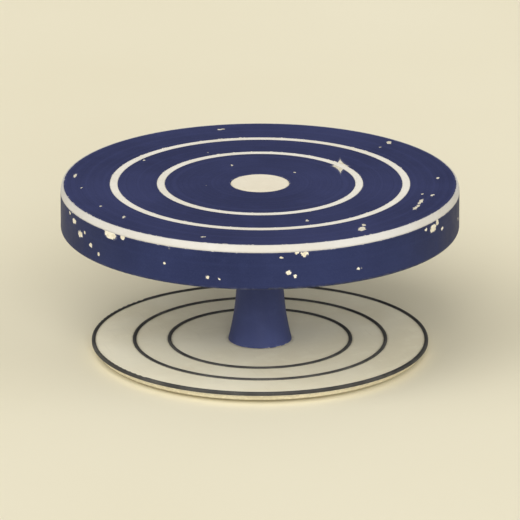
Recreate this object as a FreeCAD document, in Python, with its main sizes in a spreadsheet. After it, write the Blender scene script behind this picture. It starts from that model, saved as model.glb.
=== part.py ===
"""Hand-turned pottery wheel on a short cast pedestal.

The rotor is a faced head plate with a heavy inertia rim screwed under it. It turns on a
stepped spindle in two sealed deep-groove ball bearings, which sit in a flared cast-iron
pedestal. The pedestal is screwed to a thin round base plate on rubber feet.

Frame: +Z is the spin axis and points up, the origin is on that axis at the floor.
All sizes are millimetres. Every driving size is a cell of the Dimensions sheet.
"""

import FreeCAD
import Part
import Sketcher
import math
import os

V = FreeCAD.Vector
doc = FreeCAD.newDocument("PotteryWheel")
sheet = doc.addObject("Spreadsheet::Sheet", "Dimensions")
sheet.set("A1", "size in mm")
sheet.set("B1", "value")
sheet.set("C1", "what it is")
rows = [1]


class Dim:
    """A size: its number, for first geometry, and the expression that drives it."""

    def __init__(self, number, text):
        self.number = float(number)
        self.text = text

    def __add__(self, other):
        other = as_dim(other)
        return Dim(self.number + other.number, "(%s + %s)" % (self.text, other.text))

    def __sub__(self, other):
        other = as_dim(other)
        return Dim(self.number - other.number, "(%s - %s)" % (self.text, other.text))

    def __mul__(self, other):
        other = as_dim(other)
        return Dim(self.number * other.number, "(%s * %s)" % (self.text, other.text))

    def __truediv__(self, other):
        other = as_dim(other)
        return Dim(self.number / other.number, "(%s / %s)" % (self.text, other.text))

    def __radd__(self, other):
        return as_dim(other) + self

    def __rsub__(self, other):
        return as_dim(other) - self

    def __rmul__(self, other):
        return as_dim(other) * self

    def __neg__(self):
        return Dim(-self.number, "(0 - %s)" % self.text)


def as_dim(value):
    if isinstance(value, Dim):
        return value
    return Dim(value, "%.9g" % value if value >= 0 else "(0 - %.9g)" % -value)


def cell(alias, value, note):
    """Puts one driving size in the sheet and returns it as a Dim."""
    rows[0] += 1
    n = rows[0]
    sheet.set("A%d" % n, alias)
    sheet.set("B%d" % n, "%g" % value)
    sheet.set("C%d" % n, note)
    sheet.setAlias("B%d" % n, alias)
    return Dim(value, "Dimensions." + alias)


# ---------------------------------------------------------------- driving sizes
head_radius = cell("head_radius", 150.0, "outer radius of the wheelhead at its rim")
top_height = cell("top_height", 132.6, "throwing surface above the floor")
plate_thick = cell("plate_thick", 8.0, "thickness of the head plate")
band_height = cell("band_height", 5.6, "height of the pale edge band")
band_width = cell("band_width", 2.4, "radial width of the edge band")
band_slope = cell("band_slope", 1.1, "how far the band leans in at its top")
rim_bottom = cell("rim_bottom", 98.0, "underside of the inertia rim above the floor")
rim_wall = cell("rim_wall", 22.0, "radial thickness of the inertia rim")
rim_step = cell("rim_step", 137.0, "radius of the step that centres the rim on the plate")
rim_counterbore = cell("rim_counterbore", 12.0, "depth of the rim's screw counterbores")
rim_round = cell("rim_round", 2.2, "rounding of the rim's lower edges")
ring_outer_mid = cell("ring_outer_mid", 110.0, "mid radius of the outer centring ring")
ring_inner_mid = cell("ring_inner_mid", 74.6, "mid radius of the inner centring ring")
ring_width = cell("ring_width", 6.0, "width of a centring ring")
ring_depth = cell("ring_depth", 2.4, "depth of a centring ring's groove")
ring_gap = cell("ring_gap", 0.04, "clearance beside a centring ring")
boss_bottom = cell("boss_bottom", 120.0, "underside of the head's boss above the floor")
collar_inner = cell("collar_inner", 34.5, "inner radius of the splash collar")
collar_outer = cell("collar_outer", 39.0, "outer radius of the splash collar")
collar_bottom = cell("collar_bottom", 105.0, "lower end of the splash collar")
rib_thick = cell("rib_thick", 6.0, "thickness of a rib under the head")
rib_reach = cell("rib_reach", 121.0, "outer end of a rib")
cap_radius = cell("cap_radius", 22.2, "radius of the hub cap")
cap_recess = cell("cap_recess", 5.0, "depth of the recess for the hub cap")
cap_gap = cell("cap_gap", 0.1, "clearance round the hub cap")
oring_section = cell("oring_section", 0.8, "section radius of the hub cap's seal ring")
head_screw_circle = cell("head_screw_circle", 16.5, "pitch radius of the hub screws")
rim_screw_circle = cell("rim_screw_circle", 132.5, "pitch radius of the rim screws")

flange_radius = cell("flange_radius", 24.0, "radius of the spindle's flange")
flange_thick = cell("flange_thick", 6.0, "thickness of the spindle's flange")
collar_shoulder = cell("collar_shoulder", 13.8, "radius of the spindle's bearing shoulder")
upper_journal = cell("upper_journal", 10.0, "radius of the spindle in the upper bearing")
shank_radius = cell("shank_radius", 9.0, "radius of the spindle between the bearings")
lower_journal = cell("lower_journal", 6.0, "radius of the spindle in the lower bearing")
spindle_bottom = cell("spindle_bottom", 14.5, "lower end of the spindle above the floor")

upper_outside = cell("upper_outside", 23.5, "outer radius of the upper bearing")
upper_width = cell("upper_width", 14.0, "width of the upper bearing")
upper_bottom = cell("upper_bottom", 94.0, "lower face of the upper bearing")
upper_pitch = cell("upper_pitch", 16.75, "pitch radius of the upper bearing's balls")
upper_ball = cell("upper_ball", 3.969, "radius of the upper bearing's balls")
lower_outside = cell("lower_outside", 14.0, "outer radius of the lower bearing")
lower_width = cell("lower_width", 8.0, "width of the lower bearing")
lower_bottom = cell("lower_bottom", 20.5, "lower face of the lower bearing")
lower_pitch = cell("lower_pitch", 10.0, "pitch radius of the lower bearing's balls")
lower_ball = cell("lower_ball", 2.381, "radius of the lower bearing's balls")
ball_play = cell("ball_play", 0.03, "clearance between a ball and its raceway")

foot_drop = cell("foot_drop", 3.0, "how far the rubber feet stand below the base plate")
base_thick = cell("base_thick", 6.0, "thickness of the base plate")
base_radius = cell("base_radius", 127.2, "outer radius of the base at its bead")
base_undercut = cell("base_undercut", 4.2, "how far the base plate's edge slopes in below")
bead_width = cell("bead_width", 2.8, "width of a bead on the base plate")
bead_rise = cell("bead_rise", 1.3, "height of a bead above the base plate")
bead_depth = cell("bead_depth", 1.4, "depth of a bead's groove")
bead_mid_outer = cell("bead_mid_outer", 94.9, "mid radius of the middle bead")
bead_mid_inner = cell("bead_mid_inner", 68.5, "mid radius of the inner bead")

pedestal_foot = cell("pedestal_foot", 24.1, "radius of the pedestal at the base plate")
pedestal_neck = cell("pedestal_neck", 17.5, "radius of the pedestal's neck")
neck_start = cell("neck_start", 62.0, "height where the flare meets the neck")
neck_end = cell("neck_end", 77.5, "height where the neck opens into the cup")
cup_radius = cell("cup_radius", 31.0, "outer radius of the bearing cup")
cup_top = cell("cup_top", 112.0, "top of the bearing cup")
neck_bore = cell("neck_bore", 11.0, "radius of the bore through the neck")
spring_space = cell("spring_space", 2.5, "height left for the wave washer")
pedestal_screw_circle = cell("pedestal_screw_circle", 18.2, "pitch radius of the pedestal screws")

foot_circle = cell("foot_circle", 104.0, "pitch radius of the rubber feet")
foot_radius = cell("foot_radius", 12.0, "radius of a rubber foot")
foot_recess = cell("foot_recess", 2.0, "depth of a foot's recess in the base plate")

n_ribs = cell("n_ribs", 6, "number of ribs, and of rim screws")
n_head_screws = cell("n_head_screws", 4, "number of hub screws")
n_pedestal_screws = cell("n_pedestal_screws", 6, "number of pedestal screws")
n_feet = cell("n_feet", 4, "number of rubber feet")
n_balls = cell("n_balls", 8, "number of balls in each bearing")
doc.recompute()

# ---------------------------------------------------------------- derived levels
base_bottom = foot_drop
base_top = foot_drop + base_thick
band_bottom = top_height - band_height
plate_bottom = top_height - plate_thick
recess_floor = top_height - cap_recess
plate_radius = head_radius - band_width
rim_inside = head_radius - rim_wall
rim_seat = rim_bottom + rim_counterbore
flange_bottom = boss_bottom - flange_thick
upper_top = upper_bottom + upper_width
upper_mid = upper_bottom + upper_width / 2
lower_top = lower_bottom + lower_width
lower_mid = lower_bottom + lower_width / 2
bore_shoulder = lower_top + spring_space


# ---------------------------------------------------------------- helpers
def new_body(label, several=False):
    body = doc.addObject("PartDesign::Body", label)
    body.Label = label
    body.AllowCompound = several
    return body


def origin_part(body, role):
    return [o for o in body.Origin.OriginFeatures if o.Role == role][0]


def arc_between(a, b, radius, left):
    """Centre and end angles of the short arc from a to b. left: its centre is on the left."""
    mid = (a + b) * 0.5
    half = (b - a).Length / 2
    normal = V(-(b - a).y, (b - a).x, 0).normalize()
    if not left:
        normal = normal * -1
    centre = mid + normal * math.sqrt(max(radius * radius - half * half, 0.0))
    start = math.atan2((a - centre).y, (a - centre).x)
    end = math.atan2((b - centre).y, (b - centre).x)
    return centre, start, end


def outline(body, name, role, points, arcs=None, spin_axis=None, turn=0.0, level=None):
    """A closed sketch through points, each (across, up), every coordinate driven by the sheet.

    arcs maps the index of an edge to (radius, left) and makes that edge an arc.
    spin_axis is the across position of a construction line that a feature can turn about.
    """
    arcs = arcs or {}
    sketch = body.newObject("Sketcher::SketchObject", name)
    sketch.AttachmentSupport = [(origin_part(body, role), "")]
    sketch.MapMode = "FlatFace"
    about = V(0, 1, 0) if role == "XZ_Plane" else V(0, 0, 1)
    sketch.AttachmentOffset = FreeCAD.Placement(
        V(0, 0, level.number if level is not None else 0.0), FreeCAD.Rotation(about, turn)
    )
    if level is not None:
        sketch.setExpression("AttachmentOffset.Base.z", level.text)
    pts = [(as_dim(p[0]), as_dim(p[1])) for p in points]
    n = len(pts)
    geometry, ends = [], []
    for i in range(n):
        a = V(pts[i][0].number, pts[i][1].number, 0)
        b = V(pts[(i + 1) % n][0].number, pts[(i + 1) % n][1].number, 0)
        if i in arcs:
            radius, left = as_dim(arcs[i][0]), arcs[i][1]
            centre, start, end = arc_between(a, b, radius.number, left)
            circle = Part.Circle(centre, V(0, 0, 1), radius.number)
            if left:  # runs counter-clockwise from a to b
                while end < start:
                    end += 2 * math.pi
                geometry.append(Part.ArcOfCircle(circle, start, end))
                ends.append((1, 2))
            else:
                while start < end:
                    start += 2 * math.pi
                geometry.append(Part.ArcOfCircle(circle, end, start))
                ends.append((2, 1))
        else:
            geometry.append(Part.LineSegment(a, b))
            ends.append((1, 2))
    sketch.addGeometry(geometry, False)
    constraints, driven = [], []
    for i in range(n):
        j = (i + 1) % n
        constraints.append(Sketcher.Constraint("Coincident", i, ends[i][1], j, ends[j][0]))
    for i in range(n):
        for kind, axis, value in (("DistanceX", -2, pts[i][0]), ("DistanceY", -1, pts[i][1])):
            at = ends[i][0]
            if abs(value.number) < 1e-9:
                constraints.append(Sketcher.Constraint("PointOnObject", i, at, axis))
            elif value.number > 0:
                driven.append((len(constraints), value.text))
                constraints.append(Sketcher.Constraint(kind, -1, 1, i, at, value.number))
            else:
                driven.append((len(constraints), (-value).text))
                constraints.append(Sketcher.Constraint(kind, i, at, -1, 1, -value.number))
    for i in arcs:
        radius = as_dim(arcs[i][0])
        a, b = pts[i], pts[(i + 1) % n]
        if abs(abs(b[1].number - a[1].number) / 2 - radius.number) < 1e-6:
            # half a circle: its centre stands on the upright line between its ends
            driven.append((len(constraints), a[0].text))
            constraints.append(Sketcher.Constraint("DistanceX", -1, 1, i, 3, a[0].number))
        else:
            driven.append((len(constraints), radius.text))
            constraints.append(Sketcher.Constraint("Radius", i, radius.number))
    sketch.addConstraint(constraints)
    if spin_axis is not None:
        spin_axis = as_dim(spin_axis)
        line = sketch.addGeometry(
            Part.LineSegment(V(spin_axis.number, 0, 0), V(spin_axis.number, 10, 0)), True
        )
        at = len(constraints)
        sketch.addConstraint(
            [
                Sketcher.Constraint("DistanceX", -1, 1, line, 1, spin_axis.number),
                Sketcher.Constraint("Vertical", line),
                Sketcher.Constraint("PointOnObject", line, 1, -1),
                Sketcher.Constraint("DistanceY", line, 1, line, 2, 10.0),
            ]
        )
        driven.append((at, spin_axis.text))
    for index, text in driven:
        if "Dimensions" in text:
            sketch.setExpression("Constraints[%d]" % index, text)
    return sketch


def revolve(body, name, points, arcs=None, axis=None, turn=0.0, cut=False):
    """Turns a profile about the spin axis, or about a line at the given distance from it."""
    sketch = outline(body, name + "Profile", "XZ_Plane", points, arcs, axis, turn)
    kind = "PartDesign::Groove" if cut else "PartDesign::Revolution"
    before = body.Shape.Volume if cut else 0.0
    feature = body.newObject(kind, name)
    feature.Profile = sketch
    feature.ReferenceAxis = (sketch, ["V_Axis" if axis is None else "Axis0"])
    feature.Angle = 360.0
    doc.recompute()
    if cut and not body.Shape.Volume < before - 1e-6:
        raise RuntimeError("%s in %s cut nothing" % (name, body.Label))
    return feature


def prism(body, name, role, points, length, level=None, turn=0.0, cut=False, symmetric=False, reverse=False):
    """Pads a closed outline, or pockets it."""
    sketch = outline(body, name + "Outline", role, points, None, None, turn, level)
    before = body.Shape.Volume if cut else 0.0
    feature = body.newObject("PartDesign::Pocket" if cut else "PartDesign::Pad", name)
    feature.Profile = sketch
    length = as_dim(length)
    feature.Length = length.number
    if "Dimensions" in length.text:
        feature.setExpression("Length", length.text)
    if symmetric:
        feature.SideType = "Symmetric"
    feature.Reversed = reverse
    doc.recompute()
    if cut and not body.Shape.Volume < before - 1e-6:
        raise RuntimeError("%s in %s cut nothing" % (name, body.Label))
    return feature


def around(body, name, features, count):
    """Repeats features evenly round the spin axis."""
    pattern = body.newObject("PartDesign::PolarPattern", name)
    pattern.Originals = features
    pattern.Axis = (origin_part(body, "Z_Axis"), [""])
    pattern.Angle = 360.0
    pattern.Occurrences = int(count.number)
    pattern.setExpression("Occurrences", count.text)
    body.Tip = pattern
    doc.recompute()
    return pattern


def hexagon(centre, across_flats):
    """Corners of a hexagon socket at centre on the X axis."""
    across_flats = as_dim(across_flats)
    half = across_flats / 2
    corner = across_flats * 0.577350269
    return [
        (centre + corner, 0),
        (centre + corner / 2, half),
        (centre - corner / 2, half),
        (centre - corner, 0),
        (centre - corner / 2, -half),
        (centre + corner / 2, -half),
    ]


def soften(body, name, circles, radius, kind="PartDesign::Fillet"):
    """Rounds or bevels the circular edges about the spin axis given as (radius, height)."""
    tip = body.Tip
    names = []
    for r, z in circles:
        r, z = as_dim(r).number, as_dim(z).number
        for i, edge in enumerate(tip.Shape.Edges):
            curve = edge.Curve
            if (
                isinstance(curve, Part.Circle)
                and abs(curve.Radius - r) < 1e-4
                and abs(curve.Center.z - z) < 1e-4
                and abs(curve.Center.x) + abs(curve.Center.y) < 1e-4
            ):
                names.append("Edge%d" % (i + 1))
    if len(names) < len(circles):
        raise RuntimeError("an edge to soften is missing in " + body.Label)
    feature = body.newObject(kind, name)
    feature.Base = (tip, names)
    radius = as_dim(radius)
    if kind == "PartDesign::Fillet":
        feature.Radius = radius.number
    else:
        feature.Size = radius.number
    doc.recompute()
    return feature


# ================================================================ rotating head
# Head plate: faced top with two ring grooves and a hub recess; boss, splash collar
# and six ribs cast underneath; a step at the edge that centres the inertia rim.
wheelhead = new_body("wheelhead")
grooves = []
for mid in (ring_inner_mid, ring_outer_mid):
    grooves += [
        (mid - ring_width / 2, top_height),
        (mid - ring_width / 2, top_height - ring_depth),
        (mid + ring_width / 2, top_height - ring_depth),
        (mid + ring_width / 2, top_height),
    ]
revolve(
    wheelhead,
    "Casting",
    [
        (upper_journal + 0.02, boss_bottom),
        (upper_journal + 0.02, recess_floor),
        (cap_radius + cap_gap, recess_floor),
        (cap_radius + cap_gap, top_height),
    ]
    + grooves
    + [
        (plate_radius, top_height),
        (plate_radius, band_bottom),
        (rim_step - 0.1, band_bottom),
        (rim_step - 0.1, plate_bottom),
        (collar_outer, plate_bottom),
        (collar_outer, collar_bottom),
        (collar_inner, collar_bottom),
        (collar_inner, boss_bottom),
    ],
)
rib = prism(
    wheelhead,
    "Rib",
    "XZ_Plane",
    [
        (collar_outer - 1.5, collar_bottom + 2),
        (collar_outer + 3, collar_bottom + 2),
        (rib_reach, plate_bottom - 6),
        (rib_reach, plate_bottom + 0.5),
        (collar_outer - 1.5, plate_bottom + 0.5),
    ],
    rib_thick,
    symmetric=True,
)
around(wheelhead, "Ribs", [rib], n_ribs)
hub_hole = revolve(
    wheelhead,
    "HubScrewHole",
    [
        (head_screw_circle, boss_bottom - 1),
        (head_screw_circle + 2.75, boss_bottom - 1),
        (head_screw_circle + 2.75, recess_floor - 2.3),
        (head_screw_circle + 5.05, recess_floor),
        (head_screw_circle + 5.05, recess_floor + 1),
        (head_screw_circle, recess_floor + 1),
    ],
    axis=head_screw_circle,
    cut=True,
)
around(wheelhead, "HubScrewHoles", [hub_hole], n_head_screws)
rim_tap = revolve(
    wheelhead,
    "RimScrewThread",
    [
        (rim_screw_circle, plate_bottom - 1),
        (rim_screw_circle + 2.52, plate_bottom - 1),
        (rim_screw_circle + 2.52, plate_bottom + 5.6),
        (rim_screw_circle, plate_bottom + 6.3),
    ],
    axis=rim_screw_circle,
    turn=30.0,
    cut=True,
)
around(wheelhead, "RimScrewThreads", [rim_tap], n_ribs)
soften(
    wheelhead,
    "FacedEdges",
    [
        (plate_radius, top_height),
        (cap_radius + cap_gap, top_height),
        (ring_inner_mid - ring_width / 2, top_height),
        (ring_inner_mid + ring_width / 2, top_height),
        (ring_outer_mid - ring_width / 2, top_height),
        (ring_outer_mid + ring_width / 2, top_height),
    ],
    0.25,
)

# Inertia rim: the deep, heavy outer wall of the head, screwed up to the plate from below.
inertia_rim = new_body("inertia_rim")
revolve(
    inertia_rim,
    "Rim",
    [
        (rim_inside, rim_bottom),
        (head_radius, rim_bottom),
        (head_radius, band_bottom),
        (rim_step, band_bottom),
        (rim_step, plate_bottom),
        (rim_inside, plate_bottom),
    ],
)
rim_hole = revolve(
    inertia_rim,
    "ScrewHole",
    [
        (rim_screw_circle, rim_bottom - 1),
        (rim_screw_circle + 4.9, rim_bottom - 1),
        (rim_screw_circle + 4.9, rim_seat),
        (rim_screw_circle + 2.75, rim_seat),
        (rim_screw_circle + 2.75, plate_bottom + 1),
        (rim_screw_circle, plate_bottom + 1),
    ],
    axis=rim_screw_circle,
    turn=30.0,
    cut=True,
)
around(inertia_rim, "ScrewHoles", [rim_hole], n_ribs)
soften(
    inertia_rim,
    "LowerRounds",
    [(rim_inside, rim_bottom), (head_radius, rim_bottom)],
    rim_round,
)
soften(inertia_rim, "TopBreak", [(head_radius, band_bottom)], 0.4)

# Pale band round the head's edge. It closes the seam between plate and rim.
rim_band = new_body("rim_band")
revolve(
    rim_band,
    "Band",
    [
        (plate_radius + 0.05, band_bottom),
        (head_radius - 0.05, band_bottom),
        (head_radius - 0.05, band_bottom + 1.2),
        (head_radius - band_slope, top_height - 0.5),
        (head_radius - band_slope - 0.4, top_height - 0.1),
        (plate_radius + 0.05, top_height - 0.1),
    ],
)


def centring_ring(label, mid):
    """Pale ring let into the throwing surface, a hair below it."""
    body = new_body(label)
    inner, outer = mid - ring_width / 2 + ring_gap, mid + ring_width / 2 - ring_gap
    low, high = top_height - ring_depth, top_height - 0.12
    revolve(body, "Inlay", [(inner, low), (outer, low), (outer, high), (inner, high)])
    soften(body, "EdgeBreak", [(inner, high), (outer, high)], 0.2)
    return body


centring_ring("inner_centring_ring", ring_inner_mid)
centring_ring("outer_centring_ring", ring_outer_mid)

# Hub cap: a turned plug that hides the hub screws, held by a seal ring in its groove.
cap_top = top_height - 0.2
cap_low = recess_floor + 0.15
seal_level = recess_floor + 2.2
hub_cap = new_body("hub_cap")
revolve(
    hub_cap,
    "Plug",
    [
        (0, cap_low + 1.4),
        (12, cap_low + 1.4),
        (12, cap_low),
        (cap_radius - 0.5, cap_low),
        (cap_radius, cap_low + 0.5),
        (cap_radius, seal_level - oring_section),
        (cap_radius - 2 * oring_section, seal_level - oring_section),
        (cap_radius - 2 * oring_section, seal_level + oring_section),
        (cap_radius, seal_level + oring_section),
        (cap_radius, cap_top),
        (0, cap_top),
    ],
)
soften(hub_cap, "TopRound", [(cap_radius, cap_top)], 0.7)

hub_cap_seal = new_body("hub_cap_seal")
seal_mid = cap_radius + 0.08 - oring_section
revolve(
    hub_cap_seal,
    "Ring",
    [(seal_mid, seal_level - oring_section), (seal_mid, seal_level + oring_section)],
    arcs={0: (oring_section, True), 1: (oring_section, True)},
)


def countersunk_screws(label, circle, count, top, thread, head, cone, length, socket, up=True, turn=0.0):
    """Flat-head socket screws on a circle. up: the flat head faces +Z, else -Z."""
    body = new_body(label, several=True)
    s = 1 if up else -1

    def at(d):
        return top - d if up else top + d

    shank = revolve(
        body,
        "Screw",
        [
            (circle, at(0)),
            (circle + head, at(0)),
            (circle + head, at(0.3)),
            (circle + thread, at(cone)),
            (circle + thread, at(length - 0.6)),
            (circle + thread - 0.6, at(length)),
            (circle, at(length)),
        ],
        axis=circle,
        turn=turn,
    )
    socket_cut = prism(
        body,
        "Socket",
        "XY_Plane",
        hexagon(circle, socket),
        cone,
        level=top,
        turn=turn,
        cut=True,
        reverse=not up,
    )
    around(body, "Screws", [shank, socket_cut], count)
    return body


countersunk_screws(
    "hub_screws", head_screw_circle, n_head_screws, recess_floor - 0.05, 2.48, 4.6, 2.45, 12.0, 3.0
)


def cap_screws(label, circle, count, seat, thread, head, head_high, length, socket, turn=0.0):
    """Socket screws on a circle whose heads hang below seat and whose threads go up."""
    body = new_body(label, several=True)
    low = seat - head_high
    shank = revolve(
        body,
        "Screw",
        [
            (circle, low),
            (circle + head - 0.5, low),
            (circle + head, low + 0.5),
            (circle + head, seat),
            (circle + thread, seat),
            (circle + thread, seat + length - 0.6),
            (circle + thread - 0.6, seat + length),
            (circle, seat + length),
        ],
        axis=circle,
        turn=turn,
    )
    socket_cut = prism(
        body,
        "Socket",
        "XY_Plane",
        hexagon(circle, socket),
        head_high * 0.55,
        level=low,
        turn=turn,
        cut=True,
        reverse=True,
    )
    around(body, "Screws", [shank, socket_cut], count)
    return body


cap_screws("rim_screws", rim_screw_circle, n_ribs, rim_seat, as_dim(2.5), as_dim(4.25), as_dim(5.0), as_dim(20.0), 4.0, turn=30.0)

# Spindle: spigot and flange that carry the head, then the stepped journals.
spindle = new_body("spindle")
clip_level = lower_bottom - 1.1
revolve(
    spindle,
    "Turning",
    [
        (0, spindle_bottom + 3.2),
        (1.2, spindle_bottom + 2.2),
        (2.3, spindle_bottom),
        (lower_journal - 0.8, spindle_bottom),
        (lower_journal, spindle_bottom + 0.8),
        (lower_journal, clip_level - 0.05),
        (lower_journal - 0.25, clip_level - 0.05),
        (lower_journal - 0.25, clip_level + 1.05),
        (lower_journal, clip_level + 1.05),
        (lower_journal, lower_top + 0.9),
        (shank_radius - 0.8, lower_top + 0.9),
        (shank_radius, lower_top + 1.7),
        (shank_radius, upper_bottom - 2.0),
        (upper_journal, upper_bottom - 1.2),
        (upper_journal, upper_top),
        (collar_shoulder, upper_top),
        (collar_shoulder, flange_bottom),
        (flange_radius, flange_bottom),
        (flange_radius, boss_bottom),
        (upper_journal, boss_bottom),
        (upper_journal, recess_floor - 1.8),
        (upper_journal - 1.0, recess_floor - 0.8),
        (2.3, recess_floor - 0.8),
        (1.2, recess_floor - 3.0),
        (0, recess_floor - 4.0),
    ],
)
flange_tap = revolve(
    spindle,
    "FlangeThread",
    [
        (head_screw_circle, flange_bottom - 1),
        (head_screw_circle + 2.52, flange_bottom - 1),
        (head_screw_circle + 2.52, boss_bottom + 1),
        (head_screw_circle, boss_bottom + 1),
    ],
    axis=head_screw_circle,
    cut=True,
)
around(spindle, "FlangeThreads", [flange_tap], n_head_screws)

# V-ring: rubber slinger on the flange, its lip just clear of the cup's top face.
v_ring = new_body("v_ring_seal")
revolve(
    v_ring,
    "Seal",
    [
        (flange_radius, cup_top + 2.2),
        (flange_radius + 1.4, cup_top + 2.0),
        (flange_radius + 5.2, cup_top + 0.08),
        (flange_radius + 6.2, cup_top + 0.08),
        (flange_radius + 2.4, cup_top + 3.4),
        (flange_radius + 3.2, cup_top + 5.4),
        (flange_radius, cup_top + 5.4),
    ],
)


def retaining_ring(label, inner, outer, thick, level, lug_at, lug_radius, half_gap, hole, turn=0.0):
    """Snap ring with a gap and two pierced lugs beside it. lug_at is the lugs' distance from the axis."""
    body = new_body(label)
    revolve(body, "Ring", [(inner, level), (outer, level), (outer, level + thick), (inner, level + thick)])
    spread = math.asin((half_gap + lug_radius) / lug_at.number)
    lugs = []
    for side in (-1, 1):
        angle = turn + side * math.degrees(spread)
        lugs.append(
            revolve(
                body,
                "Lug%d" % (side + 2),
                [
                    (lug_at, level),
                    (lug_at + lug_radius, level),
                    (lug_at + lug_radius, level + thick),
                    (lug_at, level + thick),
                ],
                axis=lug_at,
                turn=angle,
            )
        )
    prism(
        body,
        "Gap",
        "XY_Plane",
        [
            (inner - 5, -half_gap),
            (outer + 5, -half_gap),
            (outer + 5, half_gap),
            (inner - 5, half_gap),
        ],
        as_dim(thick) * 3,
        level=level - thick,
        turn=turn,
        cut=True,
        reverse=True,
    )
    for side in (-1, 1):
        revolve(
            body,
            "LugHole%d" % (side + 2),
            [
                (lug_at, level - 1),
                (lug_at + hole, level - 1),
                (lug_at + hole, level + thick + 1),
                (lug_at, level + thick + 1),
            ],
            axis=lug_at,
            turn=turn + side * math.degrees(spread),
            cut=True,
        )
    return body


retaining_ring("spindle_circlip", lower_journal - 0.22, lower_journal + 2.0, 1.0, clip_level, lower_journal + 2.0, 1.25, 0.9, 0.55)
retaining_ring("bearing_circlip", upper_outside - 2.2, upper_outside + 1.2, 1.75, upper_top, upper_outside - 3.2, 2.3, 2.2, 1.1, turn=90.0)


# ================================================================ ball bearings
def bearing(prefix, inside, outside, low, width, pitch, ball):
    """Sealed deep-groove ball bearing: two races, two seals, balls and cage."""
    mid = low + width / 2
    high = low + width
    groove = ball * 1.03
    shoulder = ball * 0.69
    inner_land, outer_land = pitch - shoulder, pitch + shoulder
    inner_centre = pitch - ball - ball_play + groove
    outer_centre = pitch + ball + ball_play - groove
    reach = math.sqrt(groove.number**2 - (inner_centre.number - inner_land.number) ** 2)
    # the half width of a raceway where it meets its land
    root = as_dim(reach) * (ball / as_dim(ball.number))
    break_ = 0.4
    inner = new_body(prefix + "_bearing_inner_race")
    revolve(
        inner,
        "Race",
        [
            (inside, low + break_),
            (inside + break_, low),
            (inner_land, low),
            (inner_land, mid - root),
            (inner_land, mid + root),
            (inner_land, high),
            (inside + break_, high),
            (inside, high - break_),
        ],
        arcs={3: (groove, False)},
    )
    lip = width * 0.04
    seal_thick = width * 0.07
    seal_out = outer_land + ball * 0.22
    outer = new_body(prefix + "_bearing_outer_race")
    revolve(
        outer,
        "Race",
        [
            (outside, low + break_),
            (outside, high - break_),
            (outside - break_, high),
            (seal_out, high),
            (seal_out, high - lip - seal_thick),
            (outer_land, high - lip - seal_thick),
            (outer_land, mid + root),
            (outer_land, mid - root),
            (outer_land, low + lip + seal_thick),
            (seal_out, low + lip + seal_thick),
            (seal_out, low),
            (outside - break_, low),
        ],
        arcs={6: (groove, False)},
    )
    seals = new_body(prefix + "_bearing_seals", several=True)
    for name, a, b in (
        ("LowerSeal", low + lip, low + lip + seal_thick),
        ("UpperSeal", high - lip - seal_thick, high - lip),
    ):
        revolve(
            seals,
            name,
            [
                (inner_land + 0.3, a),
                (seal_out - 0.02, a),
                (seal_out - 0.02, b),
                (inner_land + 0.3, b),
            ],
        )
    balls = new_body(prefix + "_bearing_balls", several=True)
    sphere = revolve(
        balls,
        "Ball",
        [(pitch, mid - ball), (pitch, mid + ball)],
        arcs={0: (ball, True)},
        axis=pitch,
    )
    around(balls, "Balls", [sphere], n_balls)
    cage = new_body(prefix + "_bearing_cage")
    revolve(
        cage,
        "Crown",
        [
            (pitch - ball * 0.4, mid - ball * 1.2),
            (pitch + ball * 0.4, mid - ball * 1.2),
            (pitch + ball * 0.4, mid + ball * 0.42),
            (pitch - ball * 0.4, mid + ball * 0.42),
        ],
    )
    pocket = ball * 1.035
    room = revolve(
        cage,
        "Pocket",
        [(pitch, mid - pocket), (pitch, mid + pocket)],
        arcs={0: (pocket, True)},
        axis=pitch,
        cut=True,
    )
    around(cage, "Pockets", [room], n_balls)


bearing("upper", upper_journal, upper_outside, upper_bottom, upper_width, upper_pitch, upper_ball)
bearing("lower", lower_journal, lower_outside, lower_bottom, lower_width, lower_pitch, lower_ball)

# Wave washer: preloads the bearings. A flat ring waved three times round.
wave_low, wave_inner, wave_outer, wave_thick, wave_count = 0.15, 11.3, 13.7, 0.4, 3
wave_rise = (spring_space.number - 2 * wave_low - wave_thick) / 2


def wave_edge(radius, lift):
    points = []
    for k in range(72):
        angle = 2 * math.pi * k / 72
        z = lower_top.number + wave_low + wave_rise * (1 + math.cos(wave_count * angle)) + lift
        points.append(V(radius * math.cos(angle), radius * math.sin(angle), z))
    curve = Part.BSplineCurve()
    curve.interpolate(Points=points, PeriodicFlag=True)
    return curve.toShape()


edges = [
    wave_edge(wave_inner, 0.0),
    wave_edge(wave_outer, 0.0),
    wave_edge(wave_outer, wave_thick),
    wave_edge(wave_inner, wave_thick),
]
faces = [Part.makeRuledSurface(edges[k], edges[(k + 1) % 4]) for k in range(4)]
shell = Part.makeShell(faces)
shell.sewShape()
washer_solid = Part.makeSolid(Part.Shell(shell.Faces))
if washer_solid.Volume < 0:
    washer_solid.reverse()
wave_washer = doc.addObject("Part::Feature", "preload_wave_washer")
wave_washer.Label = "preload_wave_washer"
wave_washer.Shape = washer_solid

# ================================================================ stand
# Pedestal: one casting. Foot flare, neck, and a cup that rises inside the head.
pedestal = new_body("pedestal")
foot_rise = neck_start - base_top
foot_flare = pedestal_foot - pedestal_neck
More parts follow.
